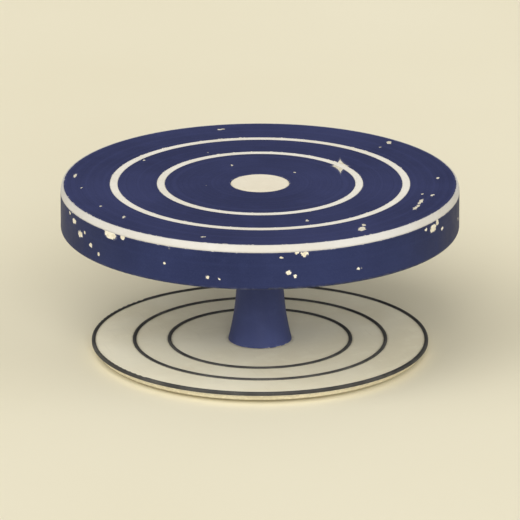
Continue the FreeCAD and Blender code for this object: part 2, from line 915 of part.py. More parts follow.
# radius of the flare whose upper end is tangent to the neck
flare = (foot_rise * foot_rise + foot_flare * foot_flare) / (foot_flare * 2)
cup_flare = cup_radius - pedestal_neck
revolve(
    pedestal,
    "Casting",
    [
        (lower_outside, base_top),
        (pedestal_foot, base_top),
        (pedestal_neck, neck_start),
        (pedestal_neck, neck_end),
        (cup_radius, neck_end + cup_flare),
        (cup_radius, cup_top),
        (upper_outside, cup_top),
        (upper_outside, upper_top + 1.8),
        (upper_outside + 1.25, upper_top + 1.8),
        (upper_outside + 1.25, upper_top - 0.03),
        (upper_outside, upper_top - 0.03),
        (upper_outside, upper_bottom),
        (upper_outside - 3.0, upper_bottom),
        (upper_outside - 3.0, upper_bottom - 2.5),
        (neck_bore, upper_bottom - 2.5),
        (neck_bore, bore_shoulder),
        (lower_outside, bore_shoulder),
    ],
    arcs={1: (flare, False), 3: (cup_flare, False)},
)
pedestal_tap = revolve(
    pedestal,
    "Thread",
    [
        (pedestal_screw_circle, base_top - 1),
        (pedestal_screw_circle + 2.02, base_top - 1),
        (pedestal_screw_circle + 2.02, base_top + 7.4),
        (pedestal_screw_circle, base_top + 8.4),
    ],
    axis=pedestal_screw_circle,
    cut=True,
)
around(pedestal, "Threads", [pedestal_tap], n_pedestal_screws)
soften(pedestal, "CupRounds", [(cup_radius, neck_end + cup_flare)], 3.0)
soften(pedestal, "EdgeRounds", [(cup_radius, cup_top), (upper_outside, cup_top)], 1.0)
soften(pedestal, "FootBreak", [(pedestal_foot, base_top)], 0.5)

# Base plate: flat disc, undercut edge, grooves for the beads, recesses for the feet.
base_plate = new_body("base_plate")
bead_grooves = []
for mid in (bead_mid_outer, bead_mid_inner):
    bead_grooves += [
        (mid + bead_width / 2, base_top),
        (mid + bead_width / 2, base_top - bead_depth),
        (mid - bead_width / 2, base_top - bead_depth),
        (mid - bead_width / 2, base_top),
    ]
edge_inner = base_radius - bead_width
revolve(
    base_plate,
    "Disc",
    [
        (0, base_bottom),
        (base_radius - base_undercut, base_bottom),
        (base_radius - 0.7, base_top - bead_depth - 0.6),
        (base_radius - 0.7, base_top - bead_depth),
        (edge_inner, base_top - bead_depth),
        (edge_inner, base_top),
    ]
    + bead_grooves
    + [(0, base_top)],
)
foot_seat = revolve(
    base_plate,
    "FootSeat",
    [
        (foot_circle, base_bottom - 1),
        (foot_circle + foot_radius + 0.15, base_bottom - 1),
        (foot_circle + foot_radius + 0.15, base_bottom + foot_recess),
        (foot_circle + 2.02, base_bottom + foot_recess),
        (foot_circle + 2.02, base_bottom + foot_recess + 2.6),
        (foot_circle, base_bottom + foot_recess + 3.2),
    ],
    axis=foot_circle,
    turn=45.0,
    cut=True,
)
around(base_plate, "FootSeats", [foot_seat], n_feet)
plate_hole = revolve(
    base_plate,
    "PedestalScrewHole",
    [
        (pedestal_screw_circle, base_bottom - 1),
        (pedestal_screw_circle + 4.4, base_bottom - 1),
        (pedestal_screw_circle + 4.4, base_bottom),
        (pedestal_screw_circle + 2.2, base_bottom + 2.3),
        (pedestal_screw_circle + 2.2, base_top + 1),
        (pedestal_screw_circle, base_top + 1),
    ],
    axis=pedestal_screw_circle,
    cut=True,
)
around(base_plate, "PedestalScrewHoles", [plate_hole], n_pedestal_screws)


def bead(label, mid):
    """Round-topped dark cord pressed into a groove of the base plate."""
    body = new_body(label)
    half = bead_width / 2 - 0.02
    crown = (half * half + bead_rise * bead_rise) / (bead_rise * 2)
    low = base_top - bead_depth
    revolve(
        body,
        "Cord",
        [(mid + half, low), (mid + half, base_top), (mid - half, base_top), (mid - half, low)],
        arcs={1: (crown, True)},
    )
    return body


bead("base_bead_inner", bead_mid_inner)
bead("base_bead_middle", bead_mid_outer)
edge_bead = new_body("base_edge_bead")
edge_half = bead_width / 2 - 0.01
edge_mid = base_radius - bead_width / 2
edge_crown = (edge_half * edge_half + bead_rise * bead_rise) / (bead_rise * 2)
revolve(
    edge_bead,
    "Cord",
    [
        (edge_mid - edge_half, base_top - bead_depth),
        (edge_mid + edge_half, base_top - bead_depth),
        (edge_mid + edge_half, base_top),
        (edge_mid - edge_half, base_top),
    ],
    arcs={2: (edge_crown, True)},
)

countersunk_screws(
    "pedestal_screws", pedestal_screw_circle, n_pedestal_screws, base_bottom + 0.05, 1.98, 3.9, 2.1, 12.5, 2.5, up=False
)

# Rubber feet with a well for the screw head, and their screws.
rubber_feet = new_body("rubber_feet", several=True)
foot_top = base_bottom + foot_recess
foot = revolve(
    rubber_feet,
    "Foot",
    [
        (foot_circle + 2.2, 2.6),
        (foot_circle + 4.6, 2.6),
        (foot_circle + 4.6, 0),
        (foot_circle + foot_radius - 1.2, 0),
        (foot_circle + foot_radius, 1.2),
        (foot_circle + foot_radius, foot_top),
        (foot_circle + 2.2, foot_top),
    ],
    axis=foot_circle,
    turn=45.0,
)
around(rubber_feet, "Feet", [foot], n_feet)
cap_screws("foot_screws", foot_circle, n_feet, as_dim(2.6), as_dim(1.98), as_dim(3.8), as_dim(2.1), as_dim(4.8), 2.0, turn=45.0)

# ---------------------------------------------------------------- check and write
doc.recompute()
for obj in doc.Objects:
    bad = [s for s in obj.State if s in ("Invalid", "Error")]
    if bad:
        raise RuntimeError("%s is %s" % (obj.Label, ", ".join(bad)))
    if obj.TypeId == "Sketcher::SketchObject" and not obj.FullyConstrained:
        raise RuntimeError("%s is not fully constrained" % obj.Label)

parts = [
    o
    for o in doc.Objects
    if o.TypeId == "PartDesign::Body" or (o.TypeId == "Part::Feature" and o.Label == "preload_wave_washer")
]
os.makedirs("parts", exist_ok=True)
for part in parts:
    shape = part.Shape
    if shape.isNull() or not shape.isValid() or not shape.Solids or shape.Volume <= 0:
        raise RuntimeError("%s has no valid solid" % part.Label)
for part in parts:
    part.Shape.exportStep(os.path.join("parts", part.Label + ".step"))
    box = part.Shape.BoundBox
    print(
        "%-28s solids %d  volume %9.1f  x %.2f..%.2f  z %.2f..%.2f"
        % (part.Label, len(part.Shape.Solids), part.Shape.Volume, box.XMin, box.XMax, box.ZMin, box.ZMax)
    )
print(len(parts), "parts")
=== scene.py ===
import math

import bpy
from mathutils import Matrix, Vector


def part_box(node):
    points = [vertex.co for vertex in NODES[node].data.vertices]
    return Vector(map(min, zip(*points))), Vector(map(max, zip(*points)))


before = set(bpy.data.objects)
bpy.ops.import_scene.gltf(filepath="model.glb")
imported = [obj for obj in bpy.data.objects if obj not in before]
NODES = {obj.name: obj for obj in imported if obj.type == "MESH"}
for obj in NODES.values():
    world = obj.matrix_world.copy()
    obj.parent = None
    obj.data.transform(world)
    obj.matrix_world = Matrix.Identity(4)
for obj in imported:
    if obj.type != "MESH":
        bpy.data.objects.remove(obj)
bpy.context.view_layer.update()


def srgb(r, g, b):
    """Linear RGBA of an 8-bit display colour."""
    out = []
    for v in (r, g, b):
        v /= 255
        out.append(v / 12.92 if v <= 0.04045 else ((v + 0.055) / 1.055) ** 2.4)
    return (*out, 1.0)


# ------------------------------------------------------------------ positions, from the frame
def ring_radii(node):
    """Inner and outer radius of a ring-shaped CAD node, in metres."""
    radii = [math.hypot(v.co.x, v.co.y) for v in NODES[node].data.vertices]
    return min(radii), max(radii)


TOP_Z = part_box("wheelhead")[1].z
HEAD_R = ring_radii("inertia_rim")[1]
PLATE_R = ring_radii("wheelhead")[1]
RIM_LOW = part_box("inertia_rim")[0].z
RIM_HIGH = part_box("inertia_rim")[1].z
RIM_IN = ring_radii("inertia_rim")[0]
BAND = ring_radii("rim_band")
INNER_RING = ring_radii("inner_centring_ring")
OUTER_RING = ring_radii("outer_centring_ring")
CAP_R = ring_radii("hub_cap")[1]
BASE_LOW, BASE_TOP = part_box("base_plate")[0].z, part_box("base_plate")[1].z
BEADS = [ring_radii(n) for n in ("base_bead_inner", "base_bead_middle", "base_edge_bead")]
FOOT_R = max(
    math.hypot(v.co.x, v.co.y) for v in NODES["pedestal"].data.vertices if v.co.z < BASE_TOP + 0.002
)


# ------------------------------------------------------------------ node building
class Mat:
    """A node material under construction. Sockets or numbers go in, sockets come out."""

    def __init__(self, name):
        self.mat = bpy.data.materials.new(name)
        self.mat.use_nodes = True
        self.tree = self.mat.node_tree
        self.tree.nodes.clear()
        self.out = self.tree.nodes.new("ShaderNodeOutputMaterial")
        self.bsdf = self.tree.nodes.new("ShaderNodeBsdfPrincipled")
        self.tree.links.new(self.bsdf.outputs[0], self.out.inputs["Surface"])
        self.p = self.tree.nodes.new("ShaderNodeTexCoord").outputs["Object"]
        split = self.tree.nodes.new("ShaderNodeSeparateXYZ")
        self.tree.links.new(self.p, split.inputs[0])
        self.x, self.y, self.z = split.outputs
        flat = self.tree.nodes.new("ShaderNodeCombineXYZ")
        self.tree.links.new(self.x, flat.inputs[0])
        self.tree.links.new(self.y, flat.inputs[1])
        self.r = self.vmath("LENGTH", flat.outputs[0])
        self.flat = flat.outputs[0]

    def put(self, socket, value):
        if isinstance(value, bpy.types.NodeSocket):
            self.tree.links.new(value, socket)
        elif value is not None:
            socket.default_value = value

    def math(self, op, a, b=None, c=None, clamp=False):
        n = self.tree.nodes.new("ShaderNodeMath")
        n.operation, n.use_clamp = op, clamp
        for i, v in enumerate((a, b, c)):
            if v is not None:
                self.put(n.inputs[i], v)
        return n.outputs[0]

    def vmath(self, op, a, b=None):
        n = self.tree.nodes.new("ShaderNodeVectorMath")
        n.operation = op
        self.put(n.inputs[0], a)
        if b is not None:
            self.put(n.inputs[1], b)
        return n.outputs["Value"] if op in ("LENGTH", "DISTANCE", "DOT_PRODUCT") else n.outputs["Vector"]

    def scaled(self, vector, xyz):
        return self.vmath("MULTIPLY", vector, xyz)

    def noise(self, scale, detail=2.0, rough=0.5, at=None, one=None, distort=0.0):
        n = self.tree.nodes.new("ShaderNodeTexNoise")
        if one is not None:
            n.noise_dimensions = "1D"
            self.put(n.inputs["W"], one)
        else:
            self.put(n.inputs["Vector"], at if at is not None else self.p)
        n.inputs["Scale"].default_value = scale
        n.inputs["Detail"].default_value = detail
        n.inputs["Roughness"].default_value = rough
        n.inputs["Distortion"].default_value = distort
        return n.outputs["Fac"]

    def noise_vector(self, scale, detail=2.0):
        n = self.tree.nodes.new("ShaderNodeTexNoise")
        self.put(n.inputs["Vector"], self.p)
        n.inputs["Scale"].default_value = scale
        n.inputs["Detail"].default_value = detail
        return self.vmath("SUBTRACT", n.outputs["Color"], (0.5, 0.5, 0.5))

    def cells(self, scale, at=None, randomness=1.0):
        """Distance to the nearest random point, and that point's random grey."""
        n = self.tree.nodes.new("ShaderNodeTexVoronoi")
        self.put(n.inputs["Vector"], at if at is not None else self.p)
        n.inputs["Scale"].default_value = scale
        n.inputs["Randomness"].default_value = randomness
        grey = self.tree.nodes.new("ShaderNodeSeparateColor")
        self.tree.links.new(n.outputs["Color"], grey.inputs[0])
        return n.outputs["Distance"], grey.outputs[0], grey.outputs[1]

    def flakes(self, scale, at):
        """The middle of the flake that each point is in: flat-sided patches with random outlines."""
        n = self.tree.nodes.new("ShaderNodeTexVoronoi")
        self.put(n.inputs["Vector"], at)
        n.inputs["Scale"].default_value = scale
        return n.outputs["Position"]

    def from_circle(self, radius, level):
        """Distance to a circle about the wheel's axis."""
        across = self.math("SUBTRACT", self.r, radius)
        up = self.math("SUBTRACT", self.z, level)
        return self.math("SQRT", self.math("ADD", self.math("MULTIPLY", across, across), self.math("MULTIPLY", up, up)))

    def step(self, value, low, high, out_low=0.0, out_high=1.0):
        """Smooth step from low to high."""
        n = self.tree.nodes.new("ShaderNodeMapRange")
        n.interpolation_type = "SMOOTHSTEP"
        self.put(n.inputs["Value"], value)
        self.put(n.inputs["From Min"], low)
        self.put(n.inputs["From Max"], high)
        self.put(n.inputs["To Min"], out_low)
        self.put(n.inputs["To Max"], out_high)
        return n.outputs["Result"]

    def span(self, value, low, high, soft):
        """1 between low and high, falling off over soft on both sides."""
        return self.math("MULTIPLY", self.step(value, low - soft, low), self.step(value, high, high + soft, 1.0, 0.0))

    def mix(self, factor, a, b, kind="MIX"):
        n = self.tree.nodes.new("ShaderNodeMix")
        n.data_type, n.blend_type, n.clamp_factor = "RGBA", kind, True
        self.put(n.inputs["Factor"], factor)
        self.put(n.inputs[6], a)
        self.put(n.inputs[7], b)
        return n.outputs[2]

    def blend(self, factor, a, b):
        """Number a to number b."""
        n = self.tree.nodes.new("ShaderNodeMix")
        n.data_type = "FLOAT"
        self.put(n.inputs[0], factor)
        self.put(n.inputs[2], a)
        self.put(n.inputs[3], b)
        return n.outputs[0]

    def add(self, *values):
        total = values[0]
        for v in values[1:]:
            total = self.math("ADD", total, v)
        return total

    def most(self, *values):
        top = values[0]
        for v in values[1:]:
            top = self.math("MAXIMUM", top, v)
        return top

    def bump(self, height, distance, strength=1.0, normal=None):
        n = self.tree.nodes.new("ShaderNodeBump")
        n.inputs["Strength"].default_value = strength
        n.inputs["Distance"].default_value = distance
        self.put(n.inputs["Height"], height)
        if normal is not None:
            self.put(n.inputs["Normal"], normal)
        return n.outputs[0]

    def finish(self, color, rough, normal=None, metallic=0.0, specular=0.5, coat=0.0, coat_rough=0.2, sheen=0.0):
        b = self.bsdf.inputs
        self.put(b["Base Color"], color)
        self.put(b["Roughness"], rough)
        self.put(b["Metallic"], metallic)
        b["Specular IOR Level"].default_value = specular
        b["Coat Weight"].default_value = coat
        b["Coat Roughness"].default_value = coat_rough
        b["Sheen Weight"].default_value = sheen
        if normal is not None:
            self.put(b["Normal"], normal)
        return self.mat


NAVY_TOP = srgb(47, 52, 88)
# the drum's side is the same navy enamel as the top, painted darker here as painted shade, against the front lamps that
# light the side more
NAVY_SIDE_SHADED = srgb(34, 41, 75)
NAVY_STAND = srgb(58, 65, 104)
CREAM = srgb(244, 237, 211)
PALE = srgb(234, 230, 219)
# the band is the same pale enamel as the rings, painted darker as painted shade, since its upright face takes more of
# the front lamps
BAND_PALE_SHADED = srgb(200, 198, 194)
CORD = srgb(50, 49, 47)

# paint chips on the top face: x, y, half length, half width in metres, direction of the length in degrees
TOP_CHIPS = [
    (0.0752, -0.1099, 0.0052, 0.0026, 80),
    (0.0770, -0.1010, 0.0022, 0.0013, 100),
    (0.1165, -0.0590, 0.0062, 0.0014, 70),
    (0.1198, -0.0455, 0.0070, 0.0015, 76),
    (0.1290, -0.0300, 0.0022, 0.0011, 60),
    (0.1215, -0.0270, 0.0015, 0.0009, 60),
    (-0.1395, 0.0173, 0.0048, 0.0012, 82),
    (-0.1340, -0.0120, 0.0016, 0.0009, 90),
    (0.0983, 0.0995, 0.0036, 0.0016, 84),
    (0.0915, 0.0880, 0.0015, 0.0009, 90),
    (0.0350, -0.0905, 0.0022, 0.0012, 90),
    (-0.1010, -0.0820, 0.0026, 0.0012, 74),
    (-0.1190, -0.0560, 0.0013, 0.0008, 80),
    (-0.0420, -0.1290, 0.0018, 0.0012, 0),
    (-0.0880, 0.0560, 0.0016, 0.0010, 90),
    (-0.0210, 0.0430, 0.0015, 0.0009, 90),
    (0.0260, 0.0260, 0.0013, 0.0008, 90),
    (0.1340, 0.0120, 0.0022, 0.0011, 84),
    (-0.0300, 0.1330, 0.0030, 0.0011, 20),
]
# a four-pointed pale star across the inner ring, a painted glint coloured as bare primer: x, y, half width, half depth
STAR_GLINT_MARK = (0.0607, 0.0414, 0.0068, 0.0190)
# and on the drum's side: angle in degrees, distance below the top, half width, half height
SIDE_CHIPS = [
    (-137.6, 0.0076, 0.0064, 0.0031),
    (-132.6, 0.0068, 0.0022, 0.0013),
    (-30.8, 0.0104, 0.0044, 0.0030),
    (-28.4, 0.0076, 0.0022, 0.0022),
    (-25.2, 0.0150, 0.0018, 0.0014),
    (-34.6, 0.0086, 0.0015, 0.0011),
    (-157.4, 0.0112, 0.0034, 0.0022),
    (-161.0, 0.0078, 0.0018, 0.0013),
    (-153.2, 0.0180, 0.0038, 0.0025),
    (-147.0, 0.0222, 0.0022, 0.0015),
    (-150.4, 0.0148, 0.0013, 0.0010),
    (-77.2, 0.0072, 0.0026, 0.0020),
    (-79.6, 0.0064, 0.0015, 0.0012),
    (-84.0, 0.0090, 0.0012, 0.0010),
    (-82.0, 0.0213, 0.0019, 0.0016),
    (-80.0, 0.0244, 0.0012, 0.0011),
    (-143.0, 0.0265, 0.0016, 0.0012),
    (-105.0, 0.0262, 0.0015, 0.0013),
    (-101.6, 0.0268, 0.0012, 0.0010),
    (-61.0, 0.0238, 0.0011, 0.0009),
    (-118.0, 0.0192, 0.0010, 0.0008),
    (38.0, 0.0110, 0.0034, 0.0022),
    (41.5, 0.0086, 0.0015, 0.0012),
    (74.0, 0.0240, 0.0018, 0.0016),
    (97.0, 0.0066, 0.0040, 0.0018),
    (121.0, 0.0088, 0.0026, 0.0018),
    (124.5, 0.0132, 0.0012, 0.0010),
    (160.0, 0.0190, 0.0016, 0.0018),
    (-8.0, 0.0215, 0.0016, 0.0013),
    (14.0, 0.0098, 0.0020, 0.0014),
]


def chip_field(m, chips, star=None):
    """How deep inside a paint chip each point is: above 0 inside, 1 at a chip's middle.

    A chip is (centre, row vectors of its axes, each over that half size). The paint breaks in flakes,
    so the outline follows flake edges for the most part.
    """
    shaken = m.vmath("ADD", m.p, m.scaled(m.noise_vector(420.0, 2.0), (0.0026, 0.0026, 0.0026)))
    flake = m.flakes(620.0, shaken)
    blend = m.tree.nodes.new("ShaderNodeMix")
    blend.data_type = "VECTOR"
    m.put(blend.inputs[0], 0.5)
    m.put(blend.inputs[4], shaken)
    m.put(blend.inputs[5], flake)
    where = blend.outputs[1]
    field = None
    for centre, axes in chips:
        away = m.vmath("SUBTRACT", where, centre)
        square = None
        for axis in axes:
            along = m.vmath("DOT_PRODUCT", away, axis)
            along = m.math("MULTIPLY", along, along)
            square = along if square is None else m.math("ADD", square, along)
        inside = m.math("SUBTRACT", 1.0, m.math("SQRT", square))
        field = inside if field is None else m.math("MAXIMUM", field, inside)
    # the four-pointed star: a painted glint, drawn as a patch of bare primer
    if star is not None:
        centre, half_x, half_y = star
        fine = m.scaled(m.noise_vector(1100.0, 2.0), (0.0012, 0.0012, 0.0012))
        d = m.vmath("ABSOLUTE", m.scaled(m.vmath("SUBTRACT", m.vmath("ADD", m.p, fine), centre), (1 / half_x, 1 / half_y, 0.0)))
        split = m.tree.nodes.new("ShaderNodeSeparateXYZ")
        m.put(split.inputs[0], d)
        points = m.add(m.math("POWER", split.outputs[0], 0.7), m.math("POWER", split.outputs[1], 0.7))
        field = m.math("MAXIMUM", field, m.math("SUBTRACT", 1.0, points))
    return field


def navy_enamel(name, base, chips, edges, cast=0.0, turned=0.0, speck=1.0, rough=0.5, turned_axis="r", star=None, face=None):
    """Navy enamel on cast iron: spray mottle, orange peel, machining lines with a painted highlight and painted shade
    along them, worn edges and chips to the primer.

    edges are (radius, level, reach): the paint is thin within reach of that circle. Above face,
    the surface is turned and carries the chips, and below it the surface is as cast.
    """
    m = Mat(name)
    upper = 1.0 if face is None else m.step(m.z, face - 0.0004, face)
    # colour: broad mottle, finer clouding, faint fine grain
    broad = m.noise(9.0, 3.0, 0.55)
    cloud = m.noise(60.0, 4.0, 0.6)
    grain = m.noise(1400.0, 2.0, 0.6)
    lighter = tuple(min(1.0, c * 1.42 + 0.004) for c in base[:3]) + (1.0,)
    darker = tuple(c * 0.72 for c in base[:3]) + (1.0,)
    color = m.mix(m.step(broad, 0.3, 0.7), darker, lighter)
    color = m.mix(0.55, color, base)
    color = m.mix(m.step(cloud, 0.45, 0.75, 0.0, 0.35), color, lighter)
    color = m.mix(m.step(grain, 0.40, 0.80, 0.0, 0.12), color, srgb(84, 90, 126))
    # relief
    peel = m.noise(520.0, 2.0, 0.5)
    height = m.math("MULTIPLY", peel, 0.5)
    if cast:
        lumps = m.math("MULTIPLY", m.noise(170.0, 5.0, 0.62), 1.6 * cast)
        if face is not None:
            lumps = m.math("MULTIPLY", lumps, m.math("SUBTRACT", 1.0, upper))
        height = m.add(height, lumps)
    normal = m.bump(height, 0.00010 + 0.00030 * cast, 0.55)
    if turned:
        along = m.r if turned_axis == "r" else m.z
        lines = m.noise(900.0, 2.0, 0.6, one=along)
        broad_lines = m.noise(210.0, 2.0, 0.5, one=along)
        ridges = m.math("MULTIPLY", m.add(lines, m.math("MULTIPLY", broad_lines, 1.5)), upper)
        normal = m.bump(ridges, 0.00012 * turned, 0.6, normal)
        # along the turning lines: paler bands are a painted highlight, and darker fine lines are painted shade in the
        # grooves
        painted_turning_shine = m.math("MULTIPLY", m.step(broad_lines, 0.48, 0.74, 0.0, 0.30 * turned), upper)
        color = m.mix(painted_turning_shine, color, lighter)
        painted_groove_shade = m.math("MULTIPLY", m.step(lines, 0.30, 0.46, 0.30 * turned, 0.0), upper)
        color = m.mix(painted_groove_shade, color, darker)
    # wear: the paint thins to a paler blue on corners, then breaks to primer in small chips
    ragged = m.noise(230.0, 4.0, 0.65)
    fine_ragged = m.noise(900.0, 3.0, 0.6)
    worn = None
    for radius, level, reach in edges:
        near = m.step(m.from_circle(radius, level), 0.0, reach, 1.0, 0.0)
        worn = near if worn is None else m.math("MAXIMUM", worn, near)
    primer = srgb(228, 222, 204)
    bare = 0.0
    if worn is not None:
        rub = m.math("MULTIPLY", worn, m.step(ragged, 0.42, 0.72))
        color = m.mix(m.math("MULTIPLY", rub, 0.55), color, srgb(112, 117, 146))
        nick = m.math("MULTIPLY", worn, m.add(ragged, m.math("MULTIPLY", fine_ragged, 0.45)))
        bare = m.step(nick, 0.775, 0.80)
    # specks of primer and dried slip, in loose clusters
    dist, pick, size = m.cells(105.0, m.vmath("ADD", m.p, m.scaled(m.noise_vector(700.0, 2.0), (0.0012, 0.0012, 0.0012))))
    cluster = m.step(m.noise(16.0, 2.0, 0.5), 0.50, 0.66)
    keep = m.math("MULTIPLY", m.step(pick, 0.72, 0.74), cluster)
    spot = m.math("MULTIPLY", keep, m.step(dist, m.math("MULTIPLY", size, 0.075), m.math("MULTIPLY_ADD", size, 0.075, 0.03), 1.0, 0.0))
    bare = m.most(bare, m.math("MULTIPLY", spot, 0.7 * speck))
    if chips:
        field = chip_field(m, chips, star)
        if face is not None:
            field = m.math("SUBTRACT", m.math("MULTIPLY", m.math("ADD", field, 1.0), upper), 1.0)
        bare = m.most(bare, m.step(field, 0.0, 0.07))
        rim_of_chip = m.span(field, -0.12, 0.0, 0.10)
        color = m.mix(m.math("MULTIPLY", rim_of_chip, 0.5), color, srgb(104, 106, 124))
    primer_var = m.mix(m.step(m.noise(340.0, 3.0), 0.3, 0.7), primer, srgb(205, 196, 172))
    color = m.mix(bare, color, primer_var)
    normal = m.bump(m.math("SUBTRACT", 1.0, bare), 0.00009, 0.7, normal)
    roughness = m.blend(m.step(cloud, 0.35, 0.7), rough - 0.03, rough + 0.05)
    roughness = m.blend(bare, roughness, 0.72)
    return m.finish(color, roughness, normal, specular=0.1)


def pale_enamel(name, base, mark_and_shade_color, grime_and_shade_circles, turned=None, rough=0.5, dark_specks=0.0, peel=0.5, scratches=0.18):
    """Cream or white glazed ring, cap or plate.

    The fourth argument is a list of (radius, level, reach): within reach of that circle the colour darkens, partly
    grime and partly painted shade where parts meet.
    """
    m = Mat(name)
    broad = m.noise(13.0, 3.0, 0.5)
    cloud = m.noise(75.0, 4.0, 0.6)
    warm = tuple(c * k for c, k in zip(base[:3], (0.93, 0.905, 0.85))) + (1.0,)
    light = tuple(min(1.0, c * 1.05) for c in base[:3]) + (1.0,)
    color = m.mix(m.step(broad, 0.3, 0.72), base, warm)
    color = m.mix(m.step(cloud, 0.45, 0.75, 0.0, 0.5), color, light)
    if dark_specks:
        dist, pick, size = m.cells(190.0)
        spot = m.math("MULTIPLY", m.step(pick, 0.86, 0.88), m.step(dist, m.math("MULTIPLY", size, 0.05), m.math("MULTIPLY_ADD", size, 0.05, 0.05), 1.0, 0.0))
        color = m.mix(m.math("MULTIPLY", spot, dark_specks), color, srgb(146, 128, 100))
    ragged = m.noise(260.0, 4.0, 0.6)
    grime_and_shade_mask = None
    # darkening near the listed circles: partly grime, partly painted shade in joins and on edges
    for radius, level, reach in grime_and_shade_circles:
        g = m.step(m.from_circle(radius, level), 0.0, reach, 1.0, 0.0)
        grime_and_shade_mask = g if grime_and_shade_mask is None else m.math("MAXIMUM", grime_and_shade_mask, g)
    if grime_and_shade_mask is not None:
        grime_and_shade_mask = m.math("MULTIPLY", grime_and_shade_mask, m.step(ragged, 0.25, 0.62, 0.25, 1.0))
        color = m.mix(m.math("MULTIPLY", grime_and_shade_mask, 0.5), color, mark_and_shade_color)
    height = m.math("MULTIPLY", m.noise(640.0, 2.0), peel)
    normal = m.bump(height, 0.00008, 0.5)
    if turned:
        lines = m.noise(1500.0, 2.0, 0.6, one=getattr(m, turned))
        normal = m.bump(lines, 0.00005, 0.5, normal)
        color = m.mix(m.step(lines, 0.5, 0.8, 0.0, 0.14), color, warm)
    # hairline scratches: thin dark and light marks at random slants
    scratch = None
    for turn, scale in ((0.4, 26.0), (1.9, 31.0)):
        c, s = math.cos(turn), math.sin(turn)
        u = m.math("ADD", m.math("MULTIPLY", m.x, c), m.math("MULTIPLY", m.y, s))
        v = m.math("SUBTRACT", m.math("MULTIPLY", m.y, c), m.math("MULTIPLY", m.x, s))
        pair = m.tree.nodes.new("ShaderNodeCombineXYZ")
        m.put(pair.inputs[0], m.math("MULTIPLY", u, 1.0))
        m.put(pair.inputs[1], m.math("MULTIPLY", v, 34.0))
        line = m.step(m.noise(scale, 1.0, 0.4, at=pair.outputs[0]), 0.70, 0.73)
        scratch = line if scratch is None else m.math("MAXIMUM", scratch, line)
    color = m.mix(m.math("MULTIPLY", scratch, scratches), color, mark_and_shade_color)
    roughness = m.blend(m.step(cloud, 0.3, 0.7), rough - 0.06, rough + 0.1)
    if grime_and_shade_mask is not None:
        roughness = m.blend(grime_and_shade_mask, roughness, 0.7)
    return m.finish(color, roughness, normal, specular=0.2)


def rubber(name, base, dust=0.35, grain=900.0, rough=0.78):
    """Moulded rubber: fine grain, a bloom of pale dust, slight patchy sheen."""
    m = Mat(name)
    patches = m.noise(70.0, 4.0, 0.6)
    lighter = tuple(min(1.0, c * 1.7 + 0.006) for c in base[:3]) + (1.0,)
    color = m.mix(m.step(patches, 0.35, 0.7), base, lighter)
    speck = m.noise(1700.0, 2.0, 0.6)
    powder = m.math("MULTIPLY", m.step(m.noise(33.0, 3.0), 0.48, 0.72), m.step(speck, 0.42, 0.7))
    color = m.mix(m.math("MULTIPLY", powder, dust), color, srgb(188, 180, 160))
    normal = m.bump(m.add(m.noise(grain, 2.0), m.math("MULTIPLY", m.noise(grain * 0.22, 2.0), 0.7)), 0.00012, 0.5)
    roughness = m.blend(m.step(patches, 0.3, 0.75), rough - 0.1, rough + 0.06)
    return m.finish(color, roughness, normal, specular=0.3)


def steel(name, base, rough, lines="r", line_scale=2600.0, stain=0.25, strength=0.5, blotch=srgb(96, 84, 70)):
    """Ground or turned steel: fine lines from the tool, faint stains, slight change of tone."""
    m = Mat(name)
    if lines == "r":
        along = m.r
    elif lines == "z":
        along = m.z
    else:
        along = m.add(m.r, m.math("MULTIPLY", m.z, 1.0))
    fine = m.noise(line_scale, 2.0, 0.6, one=along)
    broad = m.noise(line_scale * 0.17, 2.0, 0.5, one=along)
    tone = m.noise(48.0, 4.0, 0.6)
    darker = tuple(c * 0.68 for c in base[:3]) + (1.0,)
    color = m.mix(m.step(fine, 0.3, 0.75, 0.0, 0.65), base, darker)
    color = m.mix(m.step(broad, 0.45, 0.75, 0.0, 0.3), color, darker)
    mark = m.math("MULTIPLY", m.step(tone, 0.52, 0.72), stain)
    color = m.mix(mark, color, blotch)
    normal = m.bump(m.add(fine, m.math("MULTIPLY", broad, 0.6)), 0.00006, strength)
    roughness = m.blend(m.step(fine, 0.3, 0.7), rough - 0.05, rough + 0.1)
    roughness = m.blend(mark, roughness, min(0.9, rough + 0.3))
    return m.finish(color, roughness, normal, metallic=1.0)


def black_oxide(name):
    """Blackened screw steel: satin, rubbed bright on the high spots."""
    m = Mat(name)
    tone = m.noise(120.0, 4.0, 0.6)
    rub = m.noise(620.0, 3.0, 0.65)
    color = m.mix(m.step(tone, 0.35, 0.7), srgb(52, 52, 56), srgb(78, 78, 84))
    bright = m.step(rub, 0.62, 0.72, 0.0, 0.5)
    color = m.mix(bright, color, srgb(150, 150, 152))
    normal = m.bump(m.noise(1500.0, 2.0), 0.00006, 0.5)
    roughness = m.blend(m.step(tone, 0.3, 0.7), 0.36, 0.52)
    return m.finish(color, roughness, normal, metallic=0.85)


def cage_nylon(name):
    """Glass-filled nylon of a ball cage: short fibres under a satin skin."""
    m = Mat(name)
    fibre = m.noise(900.0, 3.0, 0.6, at=m.scaled(m.p, (1.0, 5.0, 1.0)))
    fibre2 = m.noise(900.0, 3.0, 0.6, at=m.scaled(m.p, (5.0, 1.0, 1.0)))
    color = m.mix(m.step(fibre, 0.45, 0.7), srgb(158, 116, 70), srgb(186, 148, 98))
    color = m.mix(m.step(fibre2, 0.5, 0.75, 0.0, 0.6), color, srgb(128, 88, 50))
    normal = m.bump(m.add(fibre, fibre2), 0.00005, 0.4)
    return m.finish(color, m.blend(fibre, 0.42, 0.6), normal, specular=0.4)


